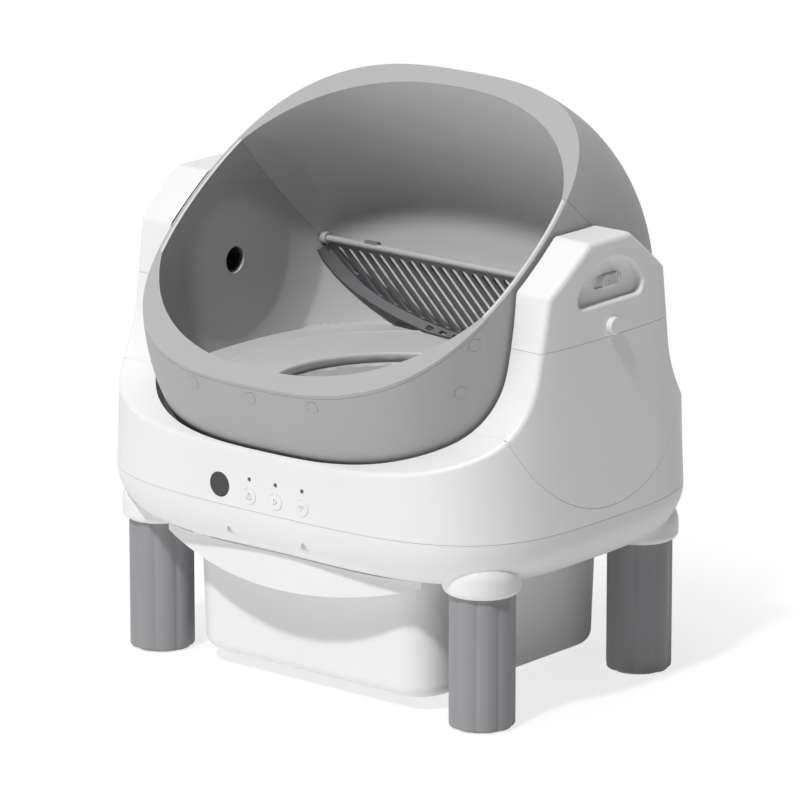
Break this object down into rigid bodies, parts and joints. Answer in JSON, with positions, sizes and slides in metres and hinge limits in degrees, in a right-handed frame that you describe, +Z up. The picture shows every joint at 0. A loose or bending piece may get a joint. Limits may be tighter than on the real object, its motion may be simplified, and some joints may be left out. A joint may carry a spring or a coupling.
{
  "type": "self-cleaning litter box",
  "caption": "Self-cleaning litter box: open drum that turns between two towers over a pull-out waste drawer, on four legs.",
  "frame": {"origin": "on the floor, midway between the four legs and under the drum's axis", "axes": "+Z up, +X to the right of someone who faces the front, -Y towards the front (the drum's mouth, the buttons and the drawer's pull)"},
  "size_m": [0.533, 0.4502, 0.5708],
  "materials": {
    "white_plastic": "fine satin moulded plastic",
    "drum_grey": "fine satin moulded plastic",
    "liner_grey": "matte moulded plastic",
    "mat_grey": "soft matte",
    "grille_grey": "satin moulded plastic",
    "bearing_plastic": "smooth low-friction plastic",
    "gear_plastic": "smooth low-friction plastic",
    "black_plastic": "matte moulded plastic",
    "motor_steel": "plain plated steel",
    "steel": "plain plated steel",
    "leg_grey": "satin moulded plastic",
    "rubber": "soft matte",
    "window_dark": "polished dark lens",
    "light_guide": "frosted light guide",
    "board_green": "coated circuit board"
  },
  "bodies": {
    "root": {"base_shell": "white_plastic", "base_pan": "white_plastic", "pan_screws": "steel", "arm_right": "white_plastic", "arm_left": "white_plastic", "bush_right": "bearing_plastic", "bush_left": "bearing_plastic", "gearbox": "black_plastic", "gear_motor": "motor_steel", "sensor_window": "window_dark", "status_lights": "light_guide", "control_board": "board_green", "board_screws": "steel", "tact_switches": "black_plastic", "power_socket": "black_plastic", "chute_seal": "rubber", "runner_right": "white_plastic", "runner_left": "white_plastic", "leg_front_left": "leg_grey", "leg_front_right": "leg_grey", "leg_rear_left": "leg_grey", "leg_rear_right": "leg_grey", "foot_pads": "rubber"},
    "drum": {"drum_bowl": "drum_grey", "drum_liner": "liner_grey", "drum_hood": "drum_grey", "rim_trim": "drum_grey", "screw_covers": "drum_grey", "bed_mat": "mat_grey", "sieve_grille": "grille_grey", "trunnion_right": "bearing_plastic", "trunnion_left": "bearing_plastic", "hub_screws": "steel", "drum_gear": "gear_plastic"},
    "pinion": {"pinion": "gear_plastic"},
    "drawer": {"waste_drawer": "white_plastic"},
    "cap_right": {"cap_right": "white_plastic"},
    "cap_left": {"cap_left": "white_plastic"},
    "latch_right": {"latch_right": "white_plastic"},
    "latch_left": {"latch_left": "white_plastic"},
    "release_right": {"release_right": "white_plastic"},
    "release_left": {"release_left": "white_plastic"},
    "button_bin": {"button_bin": "white_plastic"},
    "button_play": {"button_play": "white_plastic"},
    "button_wireless": {"button_wireless": "white_plastic"}
  },
  "joints": [
    {"name": "drum_turn", "type": "hinge", "parent": "root", "child": "drum", "pos_m": [0, 0, 0.368], "axis": [1, 0, 0], "range_deg": [-220, 30]},
    {"name": "pinion_spin", "type": "hinge", "parent": "root", "child": "pinion", "pos_m": [0.242, 0, 0.3135], "axis": [1, 0, 0], "range_deg": [-86, 629]},
    {"name": "drawer_slide", "type": "slide", "parent": "root", "child": "drawer", "axis": [0, -1, 0], "range_m": [0, 0.24]},
    {"name": "cap_right_lift", "type": "slide", "parent": "root", "child": "cap_right", "axis": [0, 0, 1], "range_m": [0, 0.06]},
    {"name": "latch_right_slide", "type": "slide", "parent": "cap_right", "child": "latch_right", "axis": [0, -1, 0], "range_m": [0, 0.011]},
    {"name": "release_right_press", "type": "slide", "parent": "cap_right", "child": "release_right", "axis": [-1, 0, 0], "range_m": [0, 0.004], "stiffness_N_per_m": 400},
    {"name": "cap_left_lift", "type": "slide", "parent": "root", "child": "cap_left", "axis": [0, 0, 1], "range_m": [0, 0.06]},
    {"name": "latch_left_slide", "type": "slide", "parent": "cap_left", "child": "latch_left", "axis": [0, -1, 0], "range_m": [0, 0.011]},
    {"name": "release_left_press", "type": "slide", "parent": "cap_left", "child": "release_left", "axis": [1, 0, 0], "range_m": [0, 0.004], "stiffness_N_per_m": 400},
    {"name": "button_bin_press", "type": "slide", "parent": "root", "child": "button_bin", "axis": [0, 1, 0], "range_m": [0, 0.001], "stiffness_N_per_m": 1200},
    {"name": "button_play_press", "type": "slide", "parent": "root", "child": "button_play", "axis": [0, 1, 0], "range_m": [0, 0.001], "stiffness_N_per_m": 1200},
    {"name": "button_wireless_press", "type": "slide", "parent": "root", "child": "button_wireless", "axis": [0, 1, 0], "range_m": [0, 0.001], "stiffness_N_per_m": 1200}
  ],
  "couplings": [
    {"joint": "pinion_spin", "follows": "drum_turn", "ratio": -2.8571}
  ]
}
